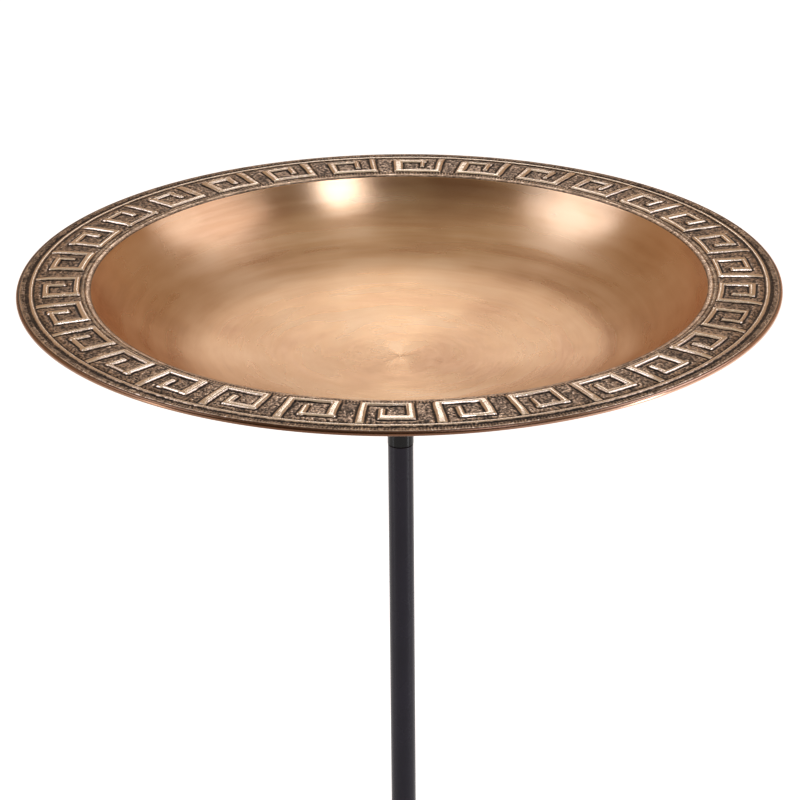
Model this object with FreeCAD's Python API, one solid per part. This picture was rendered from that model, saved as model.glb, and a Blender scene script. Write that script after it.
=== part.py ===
import FreeCAD, Part

import math
import os

# Bird bath on a garden stake. Millimetres, +Z up.
# Origin: on the pole's axis, at the soil line, where the prongs' straight legs begin.
# +X runs along the cradle towards one of its two arms.

# ---- driving dimensions ----
RIM_R = 279.4  # a 22 inch bowl
RIM_Z = 800.0  # top of the rim's key pattern above the soil line
SPIKE_TIP_Z = -140.0
POLE_R = 19.05 / 2  # 3/4 inch tube
POLE_WALL = 1.5
RUNNING_GAP = 0.08  # radial clearance of the parts that slide or turn in each other
LOOSE_GAP = 0.4  # radial clearance of the bowl's sockets on the cradle's ends

# bowl: one pressed sheet with a rolled edge. Drops are below the rim's top, RIM_Z
SHEET = 1.0
OPENING_R = 224.5
BOWL_DEPTH = 64.5
LIP_R = 1.6
LIP_DROP = 2.3
WALL_SLOPE = 52.0  # degrees from level
KNUCKLE_R = 126.0  # outer radius of the bend between wall and floor
FLOOR_R = 1060.0  # outer radius of the dished floor
ROLL_R = 1.8  # outer radius of the rolled edge
ROLL_DROP = 1.9  # top of the rolled edge
ROLL_START_ANGLE = 115.0
ROLL_BORE_R = 0.8
ROLL_END_ANGLE = 200.0  # the sheet's edge curls this far round the wire
WIRE_R = 0.77
RIM_SHEET_UNDER = 2.2  # underside of the level part of the rim
MOUTH_UNDER = 3.4  # underside where the rim meets the basin's wall
# rings pressed in the rim, from the rolled edge inwards: (distance from the edge, drop)
RIM_RINGS = [
    (3.2, 1.5),  # milled band
    (6.3, 1.5),
    (6.5, 2.1),  # groove
    (8.2, 2.1),
    (9.0, 1.2),  # smooth ridge
    (11.5, 1.2),
    (12.8, 1.6),
    (15.5, 1.1),  # ground of the key pattern
    (42.3, 1.1),
    (42.6, 0.0),  # crest of the key pattern's inner bars
    (46.3, 0.0),
    (46.6, 1.3),  # toothed groove
    (50.4, 1.6),
    (50.6, 1.3),  # inner band
    (52.4, 1.8),
]
RIM_UNDERSIDE = [(6.0, 3.0), (16.0, RIM_SHEET_UNDER), (50.7, RIM_SHEET_UNDER)]

# sockets under the rim that drop on to the cradle's ends
SOCKET_R = 240.0  # distance from the pole's axis
SOCKET_PAD_R = 11.0
SOCKET_PAD_T = 1.2
SOCKET_OUTER_R = 5.4
SOCKET_LENGTH = 7.0

# cradle
ROD_R = 6.35 / 2
ROD_DROP = 85.5  # the rod's lower run, below the rim's top
ROD_KNEE_R = 205.5  # where the gentle slope and the steep slope would meet
ROD_KNEE_DROP = 58.0
ROD_GENTLE_SLOPE = 18.5  # degrees
ROD_STEEP_SLOPE = 48.0
ROD_BENDS = [10.0, 130.0, 295.0]  # bend radii from the tip inwards
STEM_R = 9.8
STEM_Z = RIM_Z - 134.0  # seam between the stem and the pole
STEM_BITE = 1.0  # the rod sits this deep in the stem's top
SPIGOT_LENGTH = 45.0  # inside the pole
SPIGOT_TOP_DROP = 3.0  # its upper end, below the stem's top
INSERT_R = POLE_R - POLE_WALL - RUNNING_GAP  # spigot and coupler
INSERT_WALL = 1.5
EDGE = 0.6  # chamfer on the tube ends

# stake
HUB_Z = 21.0
HUB_R = 13.0
HUB_HEIGHT = 36.0
PRONG_R = 4.0
PRONG_CIRCLE_R = 121.5
PRONG_DROP = 9.0  # the arms slope down this much from the hub to the bend
PRONG_BEND_R = 12.0
PRONG_TIP_Z = -126.0
PRONG_TIP_LENGTH = 22.0
PRONG_TIP_R = 0.6
PRONG_COUNT = 3
PRONG_FIRST_ANGLE = -5.0
COUPLER_UP = 40.0
COUPLER_DOWN = 40.0
FLAT_START = 51.0  # above the spike's tip
FLAT_END = 15.0
FLAT_WIDTH = 27.0
FLAT_THICK = 3.4
SPIKE_HOLE_R = 3.25
SPIKE_HOLE_UP = 9.0

UP = FreeCAD.Vector(0, 0, 1)
ORIGIN = FreeCAD.Vector(0, 0, 0)


def point(x, z):
    """A point in the XZ plane."""
    return FreeCAD.Vector(x, 0, z)


def turned(outline):
    """A solid of revolution about Z from the corners of its half section."""
    corners = [point(r, z) for r, z in outline]
    face = Part.Face(Part.makePolygon(corners + corners[:1]))
    return face.revolve(ORIGIN, UP, 360)


def disc_on_axis(radius, low, high):
    """An upright cylinder on the pole's axis."""
    return Part.makeCylinder(radius, high - low, FreeCAD.Vector(0, 0, low))


def tube(outer, inner, low, high):
    """A tube on the pole's axis with its outer edges broken."""
    return turned([
        (inner, low),
        (outer - EDGE, low),
        (outer, low + EDGE),
        (outer, high - EDGE),
        (outer - EDGE, high),
        (inner, high),
    ])


def bent_path(corners, radii):
    """Straight runs through the corners, joined by tangent arcs of the given radii."""
    edges = []
    start = corners[0]
    for before, corner, after, radius in zip(corners, corners[1:], corners[2:], radii):
        back = (before - corner).normalize()
        ahead = (after - corner).normalize()
        half_turn = (math.pi - back.getAngle(ahead)) / 2
        setback = radius * math.tan(half_turn)
        to_centre = (back + ahead).normalize()
        centre = corner + to_centre * (radius / math.cos(half_turn))
        enter = corner + back * setback
        leave = corner + ahead * setback
        middle = centre - to_centre * radius
        edges.append(Part.makeLine(start, enter))
        edges.append(Part.Arc(enter, middle, leave).toShape())
        start = leave
    edges.append(Part.makeLine(start, corners[-1]))
    return Part.Wire(edges)


def bent_rod(corners, radii, rod_radius):
    """A round rod along a path of straight runs and bends."""
    path = bent_path(corners, radii)
    direction = corners[1] - corners[0]
    section = Part.Wire(Part.makeCircle(rod_radius, corners[0], direction))
    return path.makePipeShell([section], True, True)


# ---- bowl ----

def polar(centre, radius, degrees):
    """The point of the XZ plane at that distance and direction from a centre."""
    angle = math.radians(degrees)
    return centre + point(radius * math.cos(angle), radius * math.sin(angle))


def arc(centre, radius, start, end):
    """An arc in the XZ plane between two angles in degrees."""
    middle = (start + end) / 2
    return Part.Arc(
        polar(centre, radius, start), polar(centre, radius, middle), polar(centre, radius, end)
    ).toShape()


def heading(origin, target):
    """Direction in degrees, from 0 to 360, from one point of the XZ plane to another."""
    return math.degrees(math.atan2(target.z - origin.z, target.x - origin.x)) % 360


def knuckle_centre(wall_top, down, inward):
    """Centre of the arc that is tangent to the sloping wall and to the dished floor."""
    floor_centre = point(0, RIM_Z - BOWL_DEPTH + FLOOR_R)
    start = wall_top + inward * KNUCKLE_R - floor_centre
    half_b = start.dot(down)
    spare = half_b ** 2 - start.dot(start) + (FLOOR_R - KNUCKLE_R) ** 2
    travel = -half_b + math.sqrt(spare)
    return wall_top + down * travel + inward * KNUCKLE_R, floor_centre


def basin_edges(start, inward, knuckle, floor_centre, inset):
    """One skin of the basin from the mouth to the axis: wall, knuckle and dished floor."""
    wall_angle = heading(point(0, 0), inward * -1)
    floor_angle = heading(floor_centre, knuckle)
    wall_end = polar(knuckle, KNUCKLE_R - inset, wall_angle)
    return [
        Part.makeLine(start, wall_end),
        arc(knuckle, KNUCKLE_R - inset, wall_angle, floor_angle),
        arc(floor_centre, FLOOR_R - inset, floor_angle, 270),
    ]


def rim_points(steps):
    """Points of the rim's section from (distance from the edge, drop below the top) pairs."""
    return [point(RIM_R - inward, RIM_Z - drop) for inward, drop in steps]


ROLL = point(RIM_R - ROLL_R, RIM_Z - ROLL_DROP - ROLL_R)


def bowl():
    """The pressed sheet: basin, rim with its rings, and the edge rolled round a wire."""
    lip = point(OPENING_R + LIP_R, RIM_Z - LIP_DROP - LIP_R)
    roll_end = ROLL_END_ANGLE - 360
    slope = math.radians(WALL_SLOPE)
    down = point(-math.cos(slope), -math.sin(slope))
    inward = point(-math.sin(slope), math.cos(slope))
    inner_start = lip + inward * LIP_R
    outer_line = inner_start - inward * SHEET
    climb = (RIM_Z - MOUTH_UNDER - outer_line.z) / math.sin(slope)
    outer_start = outer_line - down * climb
    knuckle, floor_centre = knuckle_centre(outer_line, down, inward)
    ring_tops = [
        polar(ROLL, ROLL_R, ROLL_START_ANGLE),
        *rim_points(RIM_RINGS),
        polar(lip, LIP_R, 90),
    ]
    underside = [polar(ROLL, ROLL_BORE_R, 180), *rim_points(RIM_UNDERSIDE), outer_start]
    edges = [
        arc(ROLL, ROLL_R, roll_end, ROLL_START_ANGLE),
        *Part.makePolygon(ring_tops).Edges,
        arc(lip, LIP_R, 90, 90 + WALL_SLOPE),
        *basin_edges(inner_start, inward, knuckle, floor_centre, SHEET),
        Part.makeLine(point(0, RIM_Z - BOWL_DEPTH + SHEET), point(0, RIM_Z - BOWL_DEPTH)),
        *basin_edges(outer_start, inward, knuckle, floor_centre, 0),
        *Part.makePolygon(underside).Edges,
        arc(ROLL, ROLL_BORE_R, roll_end, 180),
        Part.makeLine(polar(ROLL, ROLL_BORE_R, roll_end), polar(ROLL, ROLL_R, roll_end)),
    ]
    section = Part.Face(Part.Wire(Part.sortEdges(edges)[0]))
    return section.revolve(ORIGIN, UP, 360)


def rim_wire():
    """The wire that the rim's edge is rolled round."""
    return Part.makeTorus(ROLL.x, WIRE_R, FreeCAD.Vector(0, 0, ROLL.z))


def rim_socket(side):
    """A ferrule on a round pad, brazed under the rim. side is -1 or 1."""
    pad_top = RIM_Z - RIM_SHEET_UNDER
    pad_bottom = pad_top - SOCKET_PAD_T
    mouth = pad_bottom - SOCKET_LENGTH
    bore_r = ROD_R + LOOSE_GAP
    half_section = [
        (0, pad_top),
        (SOCKET_PAD_R, pad_top),
        (SOCKET_PAD_R, pad_bottom),
        (SOCKET_OUTER_R, pad_bottom),
        (SOCKET_OUTER_R, mouth),
        (bore_r, mouth),
        (bore_r, pad_bottom),
        (0, pad_bottom),
    ]
    socket = turned(half_section)
    socket.translate(FreeCAD.Vector(side * SOCKET_R, 0, 0))
    return socket


# ---- cradle ----

ROD_Z = RIM_Z - ROD_DROP
ROD_END_Z = RIM_Z - RIM_SHEET_UNDER - SOCKET_PAD_T
STEM_TOP_Z = ROD_Z - ROD_R + STEM_BITE


def cradle_rod():
    """One rod, bent into a shallow cup, whose upright ends stand in the rim's sockets."""
    knee_z = RIM_Z - ROD_KNEE_DROP
    tip_rise = (SOCKET_R - ROD_KNEE_R) * math.tan(math.radians(ROD_STEEP_SLOPE))
    gentle_run = (knee_z - ROD_Z) / math.tan(math.radians(ROD_GENTLE_SLOPE))
    half = [
        point(SOCKET_R, ROD_END_Z),
        point(SOCKET_R, knee_z + tip_rise),
        point(ROD_KNEE_R, knee_z),
        point(ROD_KNEE_R - gentle_run, ROD_Z),
    ]
    mirrored = [point(-p.x, p.z) for p in reversed(half)]
    return bent_rod(half + mirrored, ROD_BENDS + ROD_BENDS[::-1], ROD_R)


def cradle_stem(rod):
    """The short tube under the rod, saddled to fit it."""
    stem = turned([
        (INSERT_R, STEM_Z),
        (STEM_R - EDGE, STEM_Z),
        (STEM_R, STEM_Z + EDGE),
        (STEM_R, STEM_TOP_Z),
        (INSERT_R, STEM_TOP_Z),
    ])
    return stem.cut(rod)


def cradle_spigot():
    """The inner tube that joins the stem to the pole and turns in the pole."""
    low = STEM_Z - SPIGOT_LENGTH
    high = STEM_TOP_Z - SPIGOT_TOP_DROP
    return tube(INSERT_R, INSERT_R - INSERT_WALL, low, high)


def cradle_weld(rod, stem):
    """The weld that caps the stem and flares out to meet the rod."""
    flare = 2.4  # how far the weld stands out at the stem's top
    waist = 0.72  # how far it stands out half-way up
    drop = 7.0
    rise = 5.0
    shoulder = 1.0  # weld left beside the rod at the top
    cap = turned([
        (0, STEM_TOP_Z),
        (STEM_R, STEM_TOP_Z),
        (STEM_R, STEM_TOP_Z - drop),
        (STEM_R + waist, STEM_TOP_Z - drop / 2),
        (STEM_R + flare, STEM_TOP_Z),
        (ROD_R + shoulder, STEM_TOP_Z + rise),
        (0, STEM_TOP_Z + rise),
    ])
    return cap.cut(rod).cut(stem)


# ---- pole and stake ----

def pole():
    """The pole's upper section, from the hub to the stem."""
    return tube(POLE_R, POLE_R - POLE_WALL, HUB_Z, STEM_Z)


def hub_sleeve():
    """The collar that the pole stands in and the spike and prongs are welded to."""
    low = HUB_Z - HUB_HEIGHT / 2
    high = HUB_Z + HUB_HEIGHT / 2
    chamfer = 1.5
    return turned([
        (POLE_R, low),
        (HUB_R - chamfer, low),
        (HUB_R, low + chamfer),
        (HUB_R, high - chamfer),
        (HUB_R - chamfer, high),
        (POLE_R + RUNNING_GAP, high),
        (POLE_R + RUNNING_GAP, HUB_Z),
        (POLE_R, HUB_Z),
    ])


def sleeve_weld():
    """The ring of weld between the hub's lower end and the spike."""
    low = HUB_Z - HUB_HEIGHT / 2
    height = 4.5
    width = 2.25
    toe_width = 0.54
    toe_height = 0.45
    return turned([
        (POLE_R, low),
        (POLE_R + width, low),
        (POLE_R + toe_width, low - height + toe_height),
        (POLE_R, low - height),
    ])


def spike_coupler():
    """The inner tube that is fixed in the spike and guides the pole."""
    return tube(INSERT_R, INSERT_R - INSERT_WALL, HUB_Z - COUPLER_DOWN, HUB_Z + COUPLER_UP)


def flattening():
    """The stretch where the round tube is pressed out flat."""
    round_z = SPIKE_TIP_Z + FLAT_START
    flat_z = SPIKE_TIP_Z + FLAT_END
    half_thick = FLAT_THICK / 2
    half_flat = FLAT_WIDTH / 2 - half_thick
    split = 30  # degrees from the X axis to where the tube's side becomes the flat's edge

    def rim_point(degrees):
        angle = math.radians(degrees)
        return FreeCAD.Vector(POLE_R * math.cos(angle), POLE_R * math.sin(angle), round_z)

    def flat_point(x, y):
        return FreeCAD.Vector(x, y, flat_z)

    starts = [-split, split, 180 - split, 180 + split, 360 - split]
    ring = [
        Part.Arc(rim_point(a), rim_point((a + b) / 2), rim_point(b)).toShape()
        for a, b in zip(starts, starts[1:])
    ]
    corners = [(half_flat, -half_thick), (half_flat, half_thick),
               (-half_flat, half_thick), (-half_flat, -half_thick)]
    points = [flat_point(x, y) for x, y in corners]
    slot = [
        Part.Arc(points[0], flat_point(FLAT_WIDTH / 2, 0), points[1]).toShape(),
        Part.makeLine(points[1], points[2]),
        Part.Arc(points[2], flat_point(-FLAT_WIDTH / 2, 0), points[3]).toShape(),
        Part.makeLine(points[3], points[0]),
    ]
    return Part.makeLoft([Part.Wire(ring), Part.Wire(slot)], True, True)


def spike_blade():
    """The flat end: cut to a point and holed."""
    top = SPIKE_TIP_Z + FLAT_END
    half = FLAT_WIDTH / 2
    blunt = 0.8
    outline = [point(-half, top), point(half, top), point(blunt, SPIKE_TIP_Z), point(-blunt, SPIKE_TIP_Z)]
    face = Part.Face(Part.makePolygon(outline + outline[:1]))
    face.translate(FreeCAD.Vector(0, -FLAT_THICK / 2, 0))
    plate = face.extrude(FreeCAD.Vector(0, FLAT_THICK, 0))
    rounding = plate.common(slot_prism(top))
    hole_at = FreeCAD.Vector(0, -FLAT_THICK, SPIKE_TIP_Z + SPIKE_HOLE_UP)
    hole = Part.makeCylinder(SPIKE_HOLE_R, 2 * FLAT_THICK, hole_at, FreeCAD.Vector(0, 1, 0))
    return rounding.cut(hole)


def slot_prism(top):
    """A long upright bar with the flat end's round-edged section."""
    half_thick = FLAT_THICK / 2
    half_flat = FLAT_WIDTH / 2 - half_thick
    length = FLAT_END
    low = top - length
    bar = Part.makeBox(
        2 * half_flat, FLAT_THICK, length, FreeCAD.Vector(-half_flat, -half_thick, low)
    )
    for side in (-1, 1):
        end = FreeCAD.Vector(side * half_flat, 0, low)
        bar = bar.fuse(Part.makeCylinder(half_thick, length, end))
    return bar.removeSplitter()


def ground_spike():
    """The lower tube: round where it meets the hub, flattened and pointed at its tip."""
    floor_thick = 9.0
    bore_end = SPIKE_TIP_Z + FLAT_START + floor_thick
    shank = disc_on_axis(POLE_R, SPIKE_TIP_Z + FLAT_START, HUB_Z)
    bore = disc_on_axis(INSERT_R, bore_end, HUB_Z)
    return shank.cut(bore).fuse([flattening(), spike_blade()]).removeSplitter()


def prong_line():
    """Centre line of one prong, out along +X: hub, bend, and the top of the point."""
    start = point(0, HUB_Z)
    corner = point(PRONG_CIRCLE_R, HUB_Z - PRONG_DROP)
    end = point(PRONG_CIRCLE_R, PRONG_TIP_Z + PRONG_TIP_LENGTH)
    return [start, corner, end]


def placed(shape, index):
    """One of the evenly spaced copies round the hub."""
    angle = PRONG_FIRST_ANGLE + index * 360 / PRONG_COUNT
    return shape.rotated(ORIGIN, UP, angle)


def outside_hub(shape):
    """What is left of a shape that is butted against the hub."""
    return shape.cut(disc_on_axis(HUB_R, HUB_Z - HUB_HEIGHT, HUB_Z + HUB_HEIGHT))


def prong():
    """One bent rod with a long conical point, butted against the hub."""
    rod = bent_rod(prong_line(), [PRONG_BEND_R], PRONG_R)
    tip_at = FreeCAD.Vector(PRONG_CIRCLE_R, 0, PRONG_TIP_Z)
    tip = Part.makeCone(PRONG_TIP_R, PRONG_R, PRONG_TIP_LENGTH, tip_at)
    return outside_hub(rod.fuse(tip))


def hub_welds(prongs):
    """A fillet of weld round each prong's root."""
    start, corner, _ = prong_line()
    along = (corner - start).normalize()
    root_r = PRONG_R + 3.5
    toe_r = PRONG_R + 0.3
    length = 8.0
    root_depth = 1.0  # the cone starts this far inside the hub before it is trimmed
    root_at = start + along * (HUB_R - root_depth)
    fillet = outside_hub(Part.makeCone(root_r, toe_r, length, root_at, along))
    return Part.makeCompound([placed(fillet, i).cut(p) for i, p in enumerate(prongs)])


def main():
    """Builds every part in its place and writes one file for each."""
    rod = cradle_rod()
    stem = cradle_stem(rod)
    prongs = [placed(prong(), i) for i in range(PRONG_COUNT)]
    parts = {
        "bowl": bowl(),
        "rim_wire": rim_wire(),
        "rim_socket_left": rim_socket(-1),
        "rim_socket_right": rim_socket(1),
        "cradle_rod": rod,
        "cradle_stem": stem,
        "cradle_spigot": cradle_spigot(),
        "cradle_weld": cradle_weld(rod, stem),
        "pole": pole(),
        "hub_sleeve": hub_sleeve(),
        "sleeve_weld": sleeve_weld(),
        "spike_coupler": spike_coupler(),
        "ground_spike": ground_spike(),
        "hub_welds": hub_welds(prongs),
    }
    for index, shape in enumerate(prongs):
        parts[f"prong_{index + 1}"] = shape
    os.makedirs("parts", exist_ok=True)
    for node, shape in parts.items():
        shape.exportStep(f"parts/{node}.step")
        print(f"{node:18s} solids {len(shape.Solids)} valid {shape.isValid()} volume {shape.Volume:10.1f}")


main()
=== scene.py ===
import math

import bpy
import numpy as np
from mathutils import Matrix, Vector


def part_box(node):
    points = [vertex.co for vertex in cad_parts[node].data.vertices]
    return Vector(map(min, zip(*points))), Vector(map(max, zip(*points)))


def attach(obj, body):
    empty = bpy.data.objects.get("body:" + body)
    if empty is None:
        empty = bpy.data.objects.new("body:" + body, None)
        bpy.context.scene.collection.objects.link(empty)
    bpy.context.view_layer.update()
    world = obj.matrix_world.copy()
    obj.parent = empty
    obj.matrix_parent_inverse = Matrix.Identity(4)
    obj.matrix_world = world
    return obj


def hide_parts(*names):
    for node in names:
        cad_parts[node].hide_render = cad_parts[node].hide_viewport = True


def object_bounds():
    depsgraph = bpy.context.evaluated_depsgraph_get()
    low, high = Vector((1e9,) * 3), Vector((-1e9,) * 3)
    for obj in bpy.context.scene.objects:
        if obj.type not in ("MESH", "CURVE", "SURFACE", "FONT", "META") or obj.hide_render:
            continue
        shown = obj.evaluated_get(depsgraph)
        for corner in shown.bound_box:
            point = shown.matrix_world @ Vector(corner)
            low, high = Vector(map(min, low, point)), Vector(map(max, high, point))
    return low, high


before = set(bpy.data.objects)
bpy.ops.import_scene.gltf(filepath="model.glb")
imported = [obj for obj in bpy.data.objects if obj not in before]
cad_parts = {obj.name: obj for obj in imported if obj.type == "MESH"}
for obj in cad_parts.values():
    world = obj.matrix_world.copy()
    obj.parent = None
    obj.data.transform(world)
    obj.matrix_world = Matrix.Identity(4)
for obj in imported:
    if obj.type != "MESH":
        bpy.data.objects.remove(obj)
CAD_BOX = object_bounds()

# Everything is in metres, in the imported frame: +Z up, the pole on the Z axis.

MM = 0.001
RNG = np.random.default_rng(22)

BOWL_LOW, BOWL_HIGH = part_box("bowl")
RIM_R = BOWL_HIGH.x
RIM_Z = BOWL_HIGH.z
FLOOR_LEVEL = CAD_BOX[0].z

# where the rim's ring-shaped zones begin and end, as distances in from the outer edge
MILLING_OUT = 2.3 * MM
MILLING_IN = 7.2 * MM
RIDGE_OUT = 9.0 * MM
RIDGE_IN = 12.4 * MM
FIELD_OUT = 13.4 * MM
FIELD_IN = 46.3 * MM
TEETH_IN = 50.3 * MM
BAND_IN = 54.2 * MM

FULL_TURN = 2 * math.pi    # in radians


# ------------------------------------------------------------------ meshes

def link(obj):
    """Puts an object in the scene."""
    bpy.context.scene.collection.objects.link(obj)
    return obj


def mesh_object(name, points, faces, smooth=True):
    """A mesh object from an (n, 3) array of points and an (m, 4) array of quads."""
    mesh = bpy.data.meshes.new(name)
    mesh.vertices.add(len(points))
    mesh.vertices.foreach_set("co", np.asarray(points, np.float32).ravel())
    faces = np.asarray(faces, np.int32)
    mesh.loops.add(faces.size)
    mesh.loops.foreach_set("vertex_index", faces.ravel())
    mesh.polygons.add(len(faces))
    mesh.polygons.foreach_set("loop_start", np.arange(0, faces.size, 4, dtype=np.int32))
    mesh.update(calc_edges=True)
    mesh.polygons.foreach_set("use_smooth", np.full(len(faces), smooth))
    mesh.validate()
    return link(bpy.data.objects.new(name, mesh))


def turns(columns):
    """Evenly spaced angles round the Z axis."""
    return np.arange(columns) * FULL_TURN / columns


def ring_quads(rows, columns):
    """Quads of a closed tube: rows run round the section, columns round the axis, both closed."""
    row, column = np.meshgrid(np.arange(rows), np.arange(columns), indexing="ij")
    next_row = (row + 1) % rows
    next_column = (column + 1) % columns
    quads = [row * columns + column, next_row * columns + column,
             next_row * columns + next_column, row * columns + next_column]
    return np.stack([q.ravel() for q in quads], axis=1)


def add_attribute(obj, name, values):
    """Stores one value for each point of a mesh, for its material to read."""
    layer = obj.data.attributes.new(name, "FLOAT", "POINT")
    layer.data.foreach_set("value", np.asarray(values, np.float32).ravel())


def smoothstep(low, high, x):
    """0 up to low, 1 from high on, and a smooth rise between them."""
    t = np.clip((x - low) / (high - low), 0.0, 1.0)
    return t * t * (3 - 2 * t)


def periodic_blur(grid, rows_sigma, columns_sigma):
    """Gaussian blur of a (radius, angle) grid: the angle wraps, the radius is clamped."""
    def kernel(sigma):
        reach = max(1, int(3 * sigma))
        x = np.arange(-reach, reach + 1)
        weights = np.exp(-0.5 * (x / sigma) ** 2)
        return reach, weights / weights.sum()

    reach, weights = kernel(columns_sigma)
    blurred = sum(w * np.roll(grid, s, axis=1) for s, w in zip(range(-reach, reach + 1), weights))
    reach, weights = kernel(rows_sigma)
    padded = np.pad(blurred, ((reach, reach), (0, 0)), mode="edge")
    count = grid.shape[0]
    return sum(w * padded[i:i + count] for i, w in enumerate(weights))


def wavy(rows, columns, rows_sigma, columns_sigma):
    """Smooth seeded noise on a (radius, angle) grid, about -1 to 1."""
    noise = periodic_blur(RNG.standard_normal((rows, columns)), rows_sigma, columns_sigma)
    return noise / (2.5 * noise.std())


# ------------------------------------------------------------------ the bowl's sheet

WALL_SLOPE = math.radians(52.0)
KNUCKLE_R = 126.0 * MM
DISH_R = 1060.0 * MM
SHEET = 1.0 * MM
LIP_R = 1.6 * MM
LIP_CENTRE = (226.1 * MM, RIM_Z - 3.9 * MM)
ROLL_R = 1.8 * MM
ROLL_CENTRE = (RIM_R - ROLL_R, RIM_Z - 3.7 * MM)
ROLL_OUTER_START = math.radians(140)   # where the rolled edge leaves the rings' seat
ROLL_INNER_START = math.radians(175)
ROLL_END = math.radians(-160)          # where the sheet's edge ends, curled round the wire
LIP_OUTER_ANGLE = math.radians(45)
SHELL_COLUMNS = 360
MOUTH_UNDER = 3.4 * MM
BOWL_BOTTOM = BOWL_LOW.z

# lines across the rim, as distance in from the edge and drop below the rim's top, in mm
UNDERSIDE = ((6.0, 3.0), (16.0, 2.2), (50.7, 2.2))
SEAT = ((51.0, 2.05), (16.0, 1.95), (7.0, 2.65))       # the sheet's hidden top, under the rings
RING_BASE = ((7.0, 2.75), (16.0, 2.08), (50.7, 2.12), (54.2, 3.0))   # the rings' hidden undersides
GROUND = ((6.9, 2.3), (8.0, 2.2), (13.2, 2.0), (16.0, 1.55), (42.0, 1.50), (46.3, 1.55),
          (50.3, 1.85), (54.2, 2.75))
CREST = ((13.2, 1.25), (16.0, 0.85), (20.0, 0.25), (26.0, 0.04), (44.0, 0.03), (47.0, 0.25))


def across_rim(line, edge):
    """Height of a line across the rim at a distance in from the edge."""
    distances, drops = np.array(line).T * MM
    return RIM_Z - np.interp(edge, distances, drops)


def rim_line(line):
    """(radius, height) points of a line across the rim."""
    return np.array([(RIM_R - inward * MM, RIM_Z - drop * MM) for inward, drop in line])


def arc_points(centre, radius, start, end, count):
    """Points on an arc of the (r, z) half plane, between two angles in radians."""
    angles = np.linspace(start, end, count)
    return np.stack([centre[0] + radius * np.cos(angles), centre[1] + radius * np.sin(angles)], axis=1)


def basin_skin(inset, top, wall_steps=10, knuckle_steps=22, floor_steps=26):
    """One skin of the basin, from its mouth to the axis: sloping wall, knuckle, dished floor."""
    down = np.array([-math.cos(WALL_SLOPE), -math.sin(WALL_SLOPE)])
    inward = np.array([-math.sin(WALL_SLOPE), math.cos(WALL_SLOPE)])
    wall_line = np.array(LIP_CENTRE) + inward * (LIP_R - SHEET)
    dish = np.array([0.0, BOWL_BOTTOM + DISH_R])
    start = wall_line + inward * KNUCKLE_R - dish
    half_b = start @ down
    travel = -half_b + math.sqrt(half_b ** 2 - start @ start + (DISH_R - KNUCKLE_R) ** 2)
    knuckle = wall_line + down * travel + inward * KNUCKLE_R
    wall_angle = math.atan2(-inward[1], -inward[0])
    dish_angle = math.atan2(knuckle[1] - dish[1], knuckle[0] - dish[0])
    bend = arc_points(knuckle, KNUCKLE_R - inset, wall_angle, dish_angle, knuckle_steps)
    wall = np.linspace(top, bend[0], wall_steps, endpoint=False)
    floor = arc_points(dish, DISH_R - inset, dish_angle, -math.pi / 2, floor_steps)
    return np.concatenate([wall, bend, floor[1:]])


def shell_outline():
    """The sheet's closed half section: inner skin, lip, hidden seat of the rings, roll, outer skin."""
    inward = np.array([-math.sin(WALL_SLOPE), math.cos(WALL_SLOPE)])
    lip_wall = np.array(LIP_CENTRE) + inward * LIP_R
    inner = basin_skin(SHEET, lip_wall)[::-1]
    lip = arc_points(LIP_CENTRE, LIP_R, math.pi / 2 + WALL_SLOPE, LIP_OUTER_ANGLE, 9)[1:]
    outside = arc_points(ROLL_CENTRE, ROLL_R, ROLL_OUTER_START, ROLL_END, 20)
    inside = arc_points(ROLL_CENTRE, ROLL_R - SHEET, ROLL_END, ROLL_INNER_START, 12)
    wall_foot = np.array(LIP_CENTRE) + inward * (LIP_R - SHEET)
    mouth_z = RIM_Z - MOUTH_UNDER
    mouth_r = wall_foot[0] - (wall_foot[1] - mouth_z) / math.tan(WALL_SLOPE)
    outer = basin_skin(0.0, np.array([mouth_r, mouth_z]))
    return np.concatenate([inner, lip, rim_line(SEAT), outside, inside, rim_line(UNDERSIDE), outer])


def revolve(name, outline, columns):
    """A closed shell from a half section that starts and ends on the axis."""
    angles = turns(columns)
    ring = outline[1:-1]
    radius, height = ring[:, 0][:, None], ring[:, 1][:, None]
    grid = np.stack([radius * np.cos(angles), radius * np.sin(angles),
                     np.broadcast_to(height, (len(ring), columns))], axis=-1).reshape(-1, 3)
    ends = np.array([(0.0, 0.0, outline[0, 1]), (0.0, 0.0, outline[-1, 1])])
    mesh = bpy.data.meshes.new(name)
    first, last = len(grid), len(grid) + 1
    faces = ring_quads(len(ring), columns)[:(len(ring) - 1) * columns].tolist()
    base = (len(ring) - 1) * columns
    for i in range(columns):
        after = (i + 1) % columns
        faces.append((first, i, after))
        faces.append((last, base + after, base + i))
    mesh.from_pydata(np.concatenate([grid, ends]).tolist(), [], faces)
    mesh.polygons.foreach_set("use_smooth", np.full(len(mesh.polygons), True))
    mesh.update()
    return link(bpy.data.objects.new(name, mesh))


# ------------------------------------------------------------------ the rim's rings

KEY_UNITS = 30
KEY_START = math.radians(-97.3)  # direction of the first unit's long leg, counter-clockwise from +X
KEY_DRIFT = math.radians(0.8)    # the units sit this far ahead at the front and behind at the back
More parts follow.
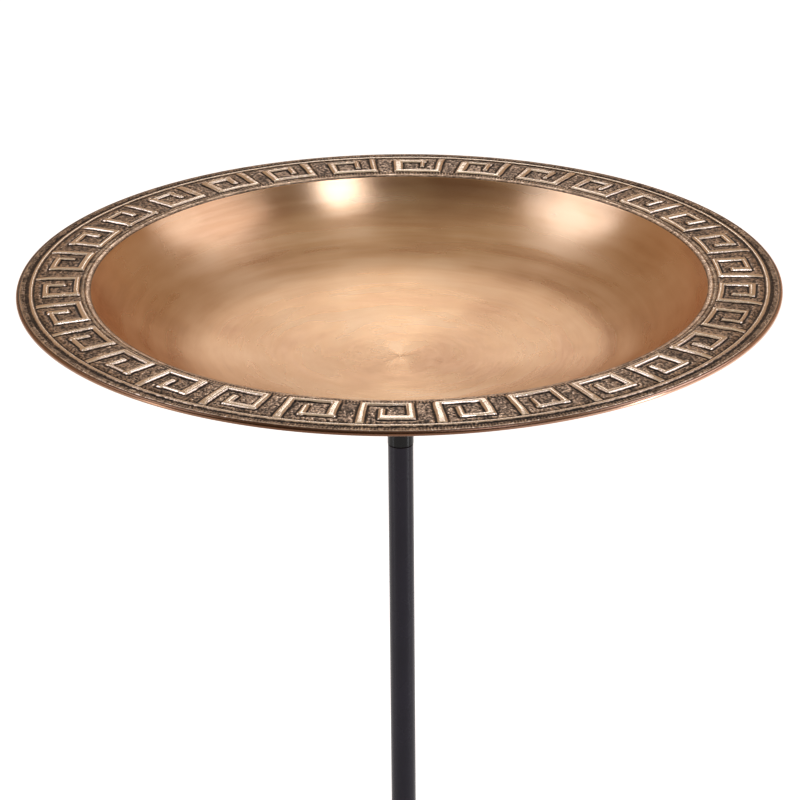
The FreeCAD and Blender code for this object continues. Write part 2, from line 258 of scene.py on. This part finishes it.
# The key pattern's bars in one unit: start and end along the pitch, outer and inner across the field.
KEY_BARS = {
    "long_leg": (0.000, 0.098, -0.05, 1.00),
    "inner_bar": (0.000, 0.730, 0.875, 1.00),
    "short_leg": (0.625, 0.735, 0.20, 1.00),
    "outer_bar": (0.262, 0.735, 0.20, 0.325),
    "hook": (0.262, 0.347, 0.20, 0.69),
}
BAR_SCATTER = (0.008, 0.008, 0.015, 0.015)   # spread of those four places from unit to unit
KEY_CORNER = 0.8 * MM
KEY_FLANK = 1.8 * MM         # the bars' sides are rounded over this distance
KEY_STRAY_ALONG = 0.45 * MM  # how far the pattern wanders from its place, round the rim
KEY_STRAY_ACROSS = 0.5 * MM

MOAT_OFFSET = 0.65 * MM      # a sunk line runs round the bars' feet, this far off them
MOAT_WIDTH = 0.85 * MM
MOAT_DEPTH = 0.40 * MM
PEBBLE = 1.4 * MM            # the field's ground is covered in small domes of this size
PEBBLE_RISE = 0.28 * MM
RIDGE_STRAY = 0.25 * MM
RIDGE_RISE = 0.95 * MM
BAND_RISE = 0.55 * MM
RING_LAP = 0.3 * MM          # neighbouring rings reach this far into each other
TOP_MARGIN = 0.01 * MM       # the relief stays this far below the rim's top
CUP = 0.30 * MM              # a place this far below those around it counts as fully hollow

MILLING_BEADS = 760
MILLING_BASE = 2.35 * MM     # below the rim's top
MILLING_RISE = 0.95 * MM
TEETH = 620
TOOTH_SINK = 0.1 * MM
TOOTH_RISE = 0.70 * MM
STEPS_PER_BEAD = 5           # columns of mesh for each bead or tooth


def bar_distance(x, y, bar, pitch, depth):
    """Signed distance to one bar, negative inside it."""
    start, end, outer, inner = bar
    half_x = (end - start) * pitch / 2 - KEY_CORNER
    half_y = (inner - outer) * depth / 2 - KEY_CORNER
    dx = np.abs(x - (start + end) / 2 * pitch) - half_x
    dy = np.abs(y - (outer + inner) / 2 * depth) - half_y
    outside = np.hypot(np.maximum(dx, 0), np.maximum(dy, 0))
    return outside + np.minimum(np.maximum(dx, dy), 0) - KEY_CORNER


def key_distance(edge, angle):
    """Signed distance to the key pattern's bars, for each point of a (radius, angle) grid."""
    depth = FIELD_IN - FIELD_OUT
    pitch = FULL_TURN / KEY_UNITS * (RIM_R - (FIELD_IN + FIELD_OUT) / 2)
    first = KEY_START - KEY_DRIFT * np.sin(angle)
    unit = (angle - first) * KEY_UNITS / FULL_TURN + KEY_STRAY_ALONG * wavy(*edge.shape, 7, 9) / pitch
    inward = edge - FIELD_OUT + KEY_STRAY_ACROSS * wavy(*edge.shape, 7, 14)
    here = np.floor(unit).astype(int)
    found = np.full(unit.shape, 1.0)
    for bar in KEY_BARS.values():
        uneven = RNG.normal(0.0, 1.0, (KEY_UNITS, 4)) * BAR_SCATTER
        for neighbour in (-1, 0, 1):
            which = (here + neighbour) % KEY_UNITS
            x = (unit - here - neighbour) * pitch
            places = [value + uneven[which, i] for i, value in enumerate(bar)]
            found = np.minimum(found, bar_distance(x, inward, places, pitch, depth))
    return found


def pebbles(radius, angle, size):
    """Little domes, 0 to 1 high, one in each jittered cell of a polar grid."""
    reach_in_cells = 0.72
    cells = int(FULL_TURN * float(radius.mean()) / size)
    a = angle / FULL_TURN * cells
    b = (radius - radius.min()) / size
    rows = int(b.max()) + 3
    jitter = RNG.uniform(-0.38, 0.38, (rows, cells, 2))
    heights = RNG.uniform(0.35, 1.0, (rows, cells))
    ia, ib = np.floor(a).astype(int), np.floor(b).astype(int)
    best = np.zeros(a.shape)
    for da in (-1, 0, 1):
        for db in (-1, 0, 1):
            ca, cb = (ia + da) % cells, np.clip(ib + db, 0, rows - 1)
            px = ia + da + 0.5 + jitter[cb, ca, 0]
            py = ib + db + 0.5 + jitter[cb, ca, 1]
            near = np.clip(1 - np.hypot(a - px, b - py) / reach_in_cells, 0, 1)
            best = np.maximum(best, heights[cb, ca] * np.sqrt(near * (2 - near)))
    return best


def dome(value, middle, half_width, power=2):
    """1 in the middle of a band, falling to 0 at its edges."""
    return np.clip(1 - np.abs((value - middle) / half_width) ** power, 0, 1)


def closed_ring(name, radii, top, marks):
    """A closed ring from a (radius, angle) grid of top heights, over a hidden base.

    marks holds grids of values for the material: how raised, hollow, worn and grainy the place is.
    """
    columns = top.shape[1]
    edges = RIM_R - radii
    base_edges = [edges[-1], *(i * MM for i, _ in RING_BASE if edges[-1] < i * MM < edges[0]), edges[0]]
    base_radii = RIM_R - np.array(base_edges)
    base = np.repeat(across_rim(RING_BASE, np.array(base_edges))[:, None], columns, axis=1)
    all_radii = np.concatenate([radii, base_radii])[:, None]
    angles = turns(columns)
    heights = np.concatenate([top, base])
    points = np.stack([all_radii * np.cos(angles), all_radii * np.sin(angles), heights], axis=-1)
    obj = mesh_object(name, points.reshape(-1, 3), ring_quads(len(all_radii), columns))
    for mark, values in marks.items():
        add_attribute(obj, mark, np.concatenate([np.clip(values, 0, 1), np.zeros_like(base)]))
    return obj


def field_masks(edge):
    """How far a place is in the key field's ground, and in the room for its bars, 0 to 1."""
    before_teeth = 1 - smoothstep(FIELD_IN - 0.2 * MM, FIELD_IN + 0.4 * MM, edge)
    ground = smoothstep(FIELD_OUT - 0.3 * MM, FIELD_OUT + 0.3 * MM, edge) * before_teeth
    bars = smoothstep(FIELD_OUT - 1.0 * MM, FIELD_OUT + 0.6 * MM, edge) * before_teeth
    return ground, bars


def rim_relief():
    """The key field with the smooth ridge outside it and the raised band inside it."""
    radii = np.linspace(RIM_R - BAND_IN, RIM_R - MILLING_IN + RING_LAP, 76)
    radius, angle = np.meshgrid(radii, turns(2520), indexing="ij")
    edge = RIM_R - radius
    field, room_for_bars = field_masks(edge)
    distance = key_distance(edge, angle)
    flank = np.clip(-distance / KEY_FLANK, 0, 1)
    key = np.sqrt(flank * (2 - flank)) * room_for_bars
    ridge_place = edge + RIDGE_STRAY * wavy(*edge.shape, 9, 40)
    ridge = np.sqrt(dome(ridge_place, (RIDGE_OUT + RIDGE_IN) / 2, (RIDGE_IN - RIDGE_OUT) / 2))
    band = dome(edge, (TEETH_IN + BAND_IN) / 2, (BAND_IN - TEETH_IN) / 2 + 0.4 * MM, power=4)
    grain = pebbles(radius, angle, PEBBLE)
    ground = across_rim(GROUND, edge)
    moat = np.exp(-((distance - MOAT_OFFSET) / MOAT_WIDTH) ** 2) * field * (1 - key)
    dents = 1 + 0.10 * wavy(*edge.shape, 2.0, 4.0)
    height = ground + key * (across_rim(CREST, edge) - ground) * dents.clip(0.85, 1.0)
    height += RIDGE_RISE * ridge * dents.clip(0.85, 1.1) + BAND_RISE * band * dents
    height += PEBBLE_RISE * grain * (1 - key) * field - MOAT_DEPTH * moat
    height = np.minimum(height, RIM_Z - TOP_MARGIN)
    cupped = (periodic_blur(height, 2.0, 2.0) - height) / CUP
    marks = {
        "raised": np.maximum.reduce([key ** 0.45, ridge ** 4, 0.42 * band]),
        "hollow": np.maximum(cupped, 2.1 * moat),
        "worn": -cupped,
        "pebble": grain * field,
    }
    return closed_ring("rim_relief", radii, height, marks)


def rim_milling():
    """The worn beading just inside the rolled edge, with a smooth wire-like line along its outside."""
    columns = MILLING_BEADS * STEPS_PER_BEAD
    rows = 11
    radii = np.linspace(RIM_R - MILLING_IN, RIM_R - MILLING_OUT, rows)
    across = np.linspace(-1, 1, rows)[:, None]
    swell = np.clip(1 - np.abs(across) ** 5, 0, 1)
    uneven = wavy(rows, columns, 1.2, 3.0)
    beads = np.cos(turns(columns) * MILLING_BEADS + 1.2 * across + 3.0 * uneven)
    outer_line = np.exp(-((across - 0.78) / 0.16) ** 2)
    beading = 0.57 + 0.30 * beads * (1 - outer_line) + 0.24 * uneven
    up = np.clip(swell * beading + 0.22 * outer_line, 0, 1)
    height = RIM_Z - MILLING_BASE + MILLING_RISE * up
    marks = {
        "raised": 0.54 * up,
        "hollow": np.maximum(1.15 - 1.5 * up, 3.0 * (across - 0.85)),
        "worn": np.maximum(1.6 * (up - 0.80), 1.4 * outer_line),
        "pebble": 0.1 * up,
    }
    return closed_ring("rim_milling", radii, height, marks)


def rim_teeth():
    """The row of small slanted teeth between the key field and the inner band."""
    columns = TEETH * STEPS_PER_BEAD
    rows = 8
    radii = np.linspace(RIM_R - TEETH_IN - RING_LAP, RIM_R - FIELD_IN, rows)
    across = np.linspace(-1, 1, rows)[:, None]
    uneven = wavy(rows, columns, 1.0, 5.0)
    teeth = np.cos(turns(columns) * TEETH + 1.6 * np.abs(across) + uneven)
    up = np.clip((1 - across ** 2) * (0.5 + 0.45 * teeth + 0.2 * uneven), 0, 1)
    height = across_rim(GROUND, RIM_R - radii)[:, None] - TOOTH_SINK + TOOTH_RISE * up
    marks = {"raised": 0.6 * up, "hollow": 1.0 - 1.4 * up, "worn": 1.6 * (up - 0.7), "pebble": up}
    return closed_ring("rim_teeth", radii, height, marks)


# ------------------------------------------------------------------ materials

def node(tree, kind, inputs=(), **settings):
    """Adds a node, sets its properties, and sets or links its inputs by name or number."""
    made = tree.nodes.new(kind)
    for name, value in settings.items():
        setattr(made, name, value)
    for name, value in dict(inputs).items():
        socket = made.inputs[name]
        if isinstance(value, bpy.types.NodeSocket):
            tree.links.new(value, socket)
        else:
            socket.default_value = value
    return made


def maths(tree, operation, *values, clamp=False):
    """The result of a calculation with one or more values."""
    made = node(tree, "ShaderNodeMath", dict(enumerate(values)), operation=operation, use_clamp=clamp)
    return made.outputs[0]


def ramp(tree, factor, stops):
    """A colour ramp through (position, (r, g, b)) stops."""
    made = node(tree, "ShaderNodeValToRGB", {"Fac": factor})
    elements = made.color_ramp.elements
    while len(elements) < len(stops):
        elements.new(0.5)
    for element, (position, colour) in zip(elements, stops):
        element.position = position
        element.color = (*colour, 1.0)
    return made.outputs["Color"]


def grey_ramp(tree, factor, *stops):
    """A ramp through (position, grey) stops."""
    return ramp(tree, factor, [(position, (value,) * 3) for position, value in stops])


def ramp_over(tree, distance, *stops):
    """A ramp whose stops stand at distances in metres. They hold greys or (r, g, b) colours."""
    low, high = stops[0][0], stops[-1][0]
    share = node(tree, "ShaderNodeMapRange", {"Value": distance, "From Min": low, "From Max": high})
    spread = [((at - low) / (high - low), colour) for at, colour in stops]
    if isinstance(stops[0][1], float):
        return grey_ramp(tree, share.outputs[0], *spread)
    return ramp(tree, share.outputs[0], spread)


def mixed(tree, factor, first, second, blend="MIX"):
    """Two colours mixed, by a number or by another node's output."""
    made = node(tree, "ShaderNodeMix", data_type="RGBA", blend_type=blend)
    for index, value in ((0, factor), (6, first), (7, second)):
        socket = made.inputs[index]
        if isinstance(value, bpy.types.NodeSocket):
            tree.links.new(value, socket)
        elif index == 0:
            socket.default_value = value
        else:
            socket.default_value = (*value, 1.0)
    return made.outputs[2]


def noise(tree, where, scale, detail=2.0, roughness=0.5):
    """Cloudy noise, mostly between 0.3 and 0.7."""
    made = node(tree, "ShaderNodeTexNoise", {"Vector": where, "Scale": scale, "Detail": detail,
                                             "Roughness": roughness})
    return made.outputs["Fac"]


def swing(tree, value, amount):
    """A noise made to swing evenly to both sides of 0, by up to half the amount."""
    return maths(tree, "MULTIPLY", maths(tree, "SUBTRACT", value, 0.5), amount)


def roughen(tree, shader, height, strength, distance):
    """Tips the surface by a height, with the bump's strength and its depth in metres."""
    bump = node(tree, "ShaderNodeBump", {"Strength": strength, "Distance": distance, "Height": height})
    wire(tree, bump.outputs[0], shader, "Normal")


def new_material(name):
    """A material and its Principled shader, wired to the output."""
    material = bpy.data.materials.new(name)
    material.use_nodes = True
    return material, material.node_tree, material.node_tree.nodes["Principled BSDF"]


def wire(tree, source, shader, name):
    """Links an output to one of the shader's named inputs."""
    tree.links.new(source, shader.inputs[name])


def object_place(tree):
    """The place on the object, in metres."""
    return node(tree, "ShaderNodeTexCoord").outputs["Object"]


def polar_place(tree, turn_scale, radius_scale):
    """Coordinates in which a noise becomes streaks that run round the Z axis, without a seam."""
    split = node(tree, "ShaderNodeSeparateXYZ", {0: object_place(tree)})
    x, y = split.outputs[0], split.outputs[1]
    radius = maths(tree, "SQRT", maths(tree, "ADD", maths(tree, "MULTIPLY", x, x),
                                       maths(tree, "MULTIPLY", y, y)))
    off_axis = maths(tree, "MAXIMUM", radius, 4.0 * MM)
    joined = node(tree, "ShaderNodeCombineXYZ", {
        0: maths(tree, "MULTIPLY", maths(tree, "DIVIDE", x, off_axis), turn_scale),
        1: maths(tree, "MULTIPLY", maths(tree, "DIVIDE", y, off_axis), turn_scale),
        2: maths(tree, "MULTIPLY", radius, radius_scale)})
    return joined.outputs[0], radius


def brushed_copper(tree, brush, bands):
    """Copper in warm and pale clouds and rings, with thin bright streaks."""
    clouds = noise(tree, object_place(tree), 9.0, detail=3.0, roughness=0.55)
    tone = maths(tree, "ADD", maths(tree, "MULTIPLY", bands, 0.45), maths(tree, "MULTIPLY", clouds, 0.55))
    colour = ramp(tree, tone, [(0.38, (0.60, 0.345, 0.185)), (0.50, (0.75, 0.475, 0.270)),
                               (0.60, (0.84, 0.58, 0.365))])
    streaks = grey_ramp(tree, brush, (0.35, 0.0), (0.75, 0.20))
    return mixed(tree, streaks, colour, (0.92, 0.69, 0.48))


def tarnished_lip(tree, colour, radius):
    """Darkens the lip in uneven patches."""
    lip = ramp_over(tree, radius, (225.2 * MM, 0.0), (226.45 * MM, 0.6), (228.2 * MM, 0.6),
                    (229.5 * MM, 0.0))
    patches = noise(tree, object_place(tree), 220.0, detail=3.0, roughness=0.6)
    amount = maths(tree, "MULTIPLY", lip, grey_ramp(tree, patches, (0.40, 0.55), (0.60, 1.0)))
    return mixed(tree, amount, colour, (0.22, 0.105, 0.060))


def roll_with_painted_light(tree, colour, radius):
    """The rolled edge: painted shade across the front, a painted glint to the right, and black in the seam
    above the roll (black patina with painted crevice shade).
    """
    place = node(tree, "ShaderNodeSeparateXYZ", {0: object_place(tree)})
    across, height = place.outputs[0], place.outputs[2]
    edge = ramp_over(tree, radius, (270.6 * MM, 0.0), (273.2 * MM, 1.0))
    # painted light along the roll from left to right: painted shade across the front, a painted glint
    # towards the right
    painted_roll_light = ramp_over(tree, across, (-220.0 * MM, (0.30, 0.17, 0.11)), (-80.0 * MM, (0.085, 0.035, 0.02)),
                        (50.0 * MM, (0.13, 0.06, 0.038)), (200.0 * MM, (0.66, 0.42, 0.31)))
    above_roll = ramp_over(tree, height, (RIM_Z - 3.4 * MM, 0.0), (RIM_Z - 2.6 * MM, 1.0))
    behind_roll = ramp_over(tree, radius, (277.1 * MM, 1.0), (278.4 * MM, 0.0))
    # the seam's near-black is black patina plus painted shade in the crevice between the roll and the rings
    seam = maths(tree, "MULTIPLY", edge, maths(tree, "MULTIPLY", above_roll, behind_roll))
    rolled = mixed(tree, maths(tree, "MULTIPLY", edge, 0.92), colour, painted_roll_light)
    return mixed(tree, seam, rolled, (0.012, 0.008, 0.006))


def basin_copper():
    """Satin copper, brushed round the middle, with soft tarnish clouds, a darker lip and painted light on
    the rolled edge.
    """
    material, tree, shader = new_material("basin_copper")
    fine, radius = polar_place(tree, 3.0, 300.0)
    wide, _ = polar_place(tree, 1.6, 60.0)
    brush = noise(tree, fine, 1.0, detail=3.0, roughness=0.6)
    bands = noise(tree, wide, 1.0, detail=3.0)
    colour = brushed_copper(tree, brush, bands)
    colour = tarnished_lip(tree, colour, radius)
    wire(tree, roll_with_painted_light(tree, colour, radius), shader, "Base Color")
    shader.inputs["Metallic"].default_value = 1.0
    duller_ring = ramp_over(tree, radius, (100.0 * MM, 0.0), (145.0 * MM, 0.03), (175.0 * MM, 0.03),
                            (200.0 * MM, 0.0))
    satin = grey_ramp(tree, bands, (0.30, 0.23), (0.70, 0.30))
    wire(tree, maths(tree, "ADD", duller_ring, satin), shader, "Roughness")
    shader.inputs["Anisotropic"].default_value = 0.80
    shader.inputs["Anisotropic Rotation"].default_value = 0.25
    round_the_axis = node(tree, "ShaderNodeTangent", direction_type="RADIAL", axis="Z")
    wire(tree, round_the_axis.outputs[0], shader, "Tangent")
    waves = maths(tree, "ADD", noise(tree, wide, 1.0, detail=0.0), maths(tree, "MULTIPLY", brush, 0.02))
    roughen(tree, shader, waves, 0.5, 0.5 * MM)
    return material


def rim_soot(tree, grain):
    """How dark the antiqued rim is, 0 to 1, from the marks stored with its mesh and from noise."""
    raised, hollow, worn_off, pebble = (
        node(tree, "ShaderNodeAttribute", attribute_name=mark).outputs["Fac"]
        for mark in ("raised", "hollow", "worn", "pebble"))
    patches = noise(tree, object_place(tree), 60.0, detail=3.0)
    speckle = noise(tree, object_place(tree), 420.0, detail=2.0, roughness=0.6)
    low_ground = maths(tree, "MULTIPLY", maths(tree, "SUBTRACT", 1.0, raised),
                       maths(tree, "SUBTRACT", 0.78, maths(tree, "MULTIPLY", pebble, 0.42)))
    soot = maths(tree, "MAXIMUM", low_ground, maths(tree, "MULTIPLY", hollow, 0.95))
    soot = maths(tree, "SUBTRACT", soot, maths(tree, "MULTIPLY", worn_off, 0.35))
    soot = maths(tree, "ADD", soot, swing(tree, grain, 0.95))
    soot = maths(tree, "ADD", soot, swing(tree, speckle, maths(tree, "SUBTRACT", 1.2, raised)))
    return maths(tree, "ADD", soot, swing(tree, patches, 0.45), clamp=True)


def rim_copper():
    """Antiqued copper: bright on the crests, brown on the slopes, nearly black in the hollows."""
    material, tree, shader = new_material("rim_copper")
    grain = noise(tree, object_place(tree), 950.0, detail=3.0, roughness=0.7)
    soot = rim_soot(tree, grain)
    colour = ramp(tree, soot, [(0.05, (1.0, 0.88, 0.74)), (0.22, (0.86, 0.65, 0.48)),
                               (0.45, (0.36, 0.26, 0.19)), (0.66, (0.062, 0.042, 0.029)),
                               (0.90, (0.008, 0.007, 0.006))])
    wire(tree, colour, shader, "Base Color")
    wire(tree, grey_ramp(tree, soot, (0.1, 1.0), (0.9, 0.55)), shader, "Metallic")
    wire(tree, grey_ramp(tree, soot, (0.05, 0.17), (0.7, 0.46)), shader, "Roughness")
    roughen(tree, shader, grain, 0.35, 0.3 * MM)
    return material


def powder_coat(name, colour, roughness, texture=0.25):
    """Baked-on black coat with a fine even grain."""
    material, tree, shader = new_material(name)
    grain = noise(tree, object_place(tree), 1400.0, detail=2.0)
    wear = noise(tree, object_place(tree), 35.0, detail=3.0)
    lighter = tuple(1.35 * channel for channel in colour)
    tone = mixed(tree, grey_ramp(tree, wear, (0.35, 0.0), (0.75, 1.0)), colour, lighter)
    wire(tree, tone, shader, "Base Color")
    shader.inputs["Specular IOR Level"].default_value = 0.17
    wire(tree, grey_ramp(tree, wear, (0.3, roughness - 0.03), (0.7, roughness + 0.04)), shader, "Roughness")
    roughen(tree, shader, grain, texture, 0.2 * MM)
    return material


def bare_steel(name, colour, roughness):
    """Drawn steel with fine marks along its length."""
    material, tree, shader = new_material(name)
    along_z = (900.0, 900.0, 25.0)
    stretched = node(tree, "ShaderNodeMapping", {"Vector": object_place(tree), "Scale": along_z})
    marks = noise(tree, stretched.outputs[0], 1.0, detail=2.0)
    darker = tuple(0.75 * channel for channel in colour)
    wire(tree, mixed(tree, marks, colour, darker), shader, "Base Color")
    shader.inputs["Metallic"].default_value = 1.0
    wire(tree, grey_ramp(tree, marks, (0.3, roughness), (0.7, roughness + 0.12)), shader, "Roughness")
    return material


def dress(obj, material):
    """Gives an object one material in place of those it has."""
    obj.data.materials.clear()
    obj.data.materials.append(material)


# ------------------------------------------------------------------ studio

def floor():
    """A very large pale floor, just under the spike's tip."""
    size = 40.0
    level = FLOOR_LEVEL - 2.0 * MM
    points = [(-size, -size, level), (size, -size, level), (size, size, level), (-size, size, level)]
    obj = mesh_object("studio_floor", points, [(0, 1, 2, 3)], smooth=False)
    material, _, shader = new_material("floor_paper")
    shader.inputs["Base Color"].default_value = (0.93, 0.93, 0.93, 1.0)
    shader.inputs["Roughness"].default_value = 0.9
    shader.inputs["Specular IOR Level"].default_value = 0.0
    shader.inputs["Emission Color"].default_value = (1.0, 1.0, 1.0, 1.0)
    shader.inputs["Emission Strength"].default_value = 0.80
    dress(obj, material)


BOWL_AIM = Vector((0.0, 0.0, 0.78))   # the basin's middle, which the boxes face
POLE_AIM = Vector((0.0, 0.0, 0.4))    # half-way up the pole, which the strips face
WHITE = (0.94, 0.97, 1.0)
COOL = (0.92, 0.99, 1.20)


def at(azimuth, elevation):
    """A direction from its degrees right of straight back and degrees up."""
    turn, rise = math.radians(azimuth), math.radians(elevation)
    return Vector((math.cos(rise) * math.sin(turn), math.cos(rise) * math.cos(turn), math.sin(rise)))


def softbox(name, direction, distance, size, power, target=BOWL_AIM, tint=WHITE):
    """A rectangular light in a direction from its target, facing it. Its size is width and height."""
    data = bpy.data.lights.new(name, "AREA")
    data.shape = "RECTANGLE"
    data.size, data.size_y = size
    data.energy = power
    data.color = tint
    obj = link(bpy.data.objects.new(name, data))
    away = direction.normalized()
    obj.location = target + away * distance
    obj.rotation_euler = away.to_track_quat("Z", "Y").to_euler()
    obj.visible_camera = False


def sky():
    """Dim warm surroundings, a little brighter overhead and darker behind the camera.

    They light the object and show in its reflections; the camera itself sees plain white.
    """
    world = bpy.data.worlds.new("studio")
    bpy.context.scene.world = world
    world.use_nodes = True
    tree = world.node_tree
    background = tree.nodes["Background"]
    direction = node(tree, "ShaderNodeTexCoord").outputs["Generated"]
    split = node(tree, "ShaderNodeSeparateXYZ", {0: direction})
    upward = ramp(tree, split.outputs[2], [(0.0, (0.46, 0.295, 0.195)), (0.52, (0.37, 0.255, 0.17)),
                                           (0.80, (0.44, 0.35, 0.28)), (1.0, (0.56, 0.49, 0.40))])
    toward_camera = maths(tree, "MULTIPLY", split.outputs[1], -1.0)
    dimmed = grey_ramp(tree, toward_camera, (0.02, 1.0), (0.30, 0.52), (0.55, 0.32), (1.0, 0.30))
    around = mixed(tree, 1.0, upward, dimmed, "MULTIPLY")
    seen = node(tree, "ShaderNodeLightPath").outputs["Is Camera Ray"]
    wire(tree, mixed(tree, seen, around, (1.0, 1.0, 1.0)), background, "Color")
    background.inputs["Strength"].default_value = 1.0


def lights():
    """Soft boxes whose reflections make the basin's bright patches, and a strip on each side of the pole."""
    sky()
    softbox("box_right", at(78, 43), 2.4, (1.45, 1.35), 8.0, tint=COOL)
    softbox("box_left", at(-84, 48), 2.4, (1.30, 0.95), 6.0, tint=COOL)
    softbox("box_front", at(145, 61), 2.4, (0.50, 0.75), 6.2, tint=COOL)
    softbox("box_back_high", at(0, 38), 4.5, (0.42, 1.26), 3.0)
    softbox("box_back_low", at(0, 24), 4.5, (0.46, 1.10), 2.3)
    softbox("strip_left", Vector((-0.93, -0.36, 0.0)), 1.8, (0.25, 1.4), 4.5, target=POLE_AIM)
    softbox("strip_right", Vector((0.93, -0.36, 0.0)), 1.8, (0.25, 1.4), 9.0, target=POLE_AIM)


def camera():
    """The photograph's viewpoint: about 21 degrees above the rim, 2.43 m from its centre."""
    centre = Vector((-0.2 * MM, 0.0, RIM_Z - 2.0 * MM))
    elevation = math.radians(21.16)
    below = math.radians(2.1)    # the picture's middle lies this far under the rim's centre
    roll = math.radians(-0.5)
    distance = 2.432
    data = bpy.data.cameras.new("camera")
    data.sensor_width = 36.0
    data.lens = 149.4
    obj = link(bpy.data.objects.new("camera", data))
    obj.location = centre + distance * Vector((0.0, -math.cos(elevation), math.sin(elevation)))
    pitch = Matrix.Rotation(math.pi / 2 - elevation - below, 3, "X")
    obj.rotation_euler = (pitch @ Matrix.Rotation(roll, 3, "Z")).to_euler()
    bpy.context.scene.camera = obj


# ------------------------------------------------------------------ build

def build_bowl():
    """The bowl's sheet in place of the CAD bowl, and the three ornamented rings on its rim."""
    shell = revolve("bowl_shell", shell_outline(), SHELL_COLUMNS)
    dress(shell, basin_copper())
    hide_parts("bowl")
    antiqued = rim_copper()
    rings = [rim_relief(), rim_milling(), rim_teeth()]
    for ring in rings:
        dress(ring, antiqued)
    for piece in [shell, *rings]:
        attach(piece, "bowl")


def dress_nodes():
    """Gives every CAD node that stays its finish."""
    black = powder_coat("black_coat", (0.0090, 0.0075, 0.0150), 0.26)
    gloss = powder_coat("black_gloss", (0.004, 0.004, 0.0045), 0.16, texture=0.08)
    tube = bare_steel("steel_tube", (0.55, 0.54, 0.53), 0.28)
    drawn_wire = bare_steel("steel_wire", (0.52, 0.51, 0.50), 0.32)
    copper = basin_copper()
    finishes = {
        "cradle_stem": gloss,
        "cradle_spigot": tube,
        "spike_coupler": tube,
        "rim_wire": drawn_wire,
        "rim_socket_left": copper,
        "rim_socket_right": copper,
    }
    for name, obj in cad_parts.items():
        dress(obj, finishes.get(name, black))


build_bowl()
dress_nodes()
floor()
lights()
camera()
bpy.context.scene.view_settings.view_transform = "Standard"
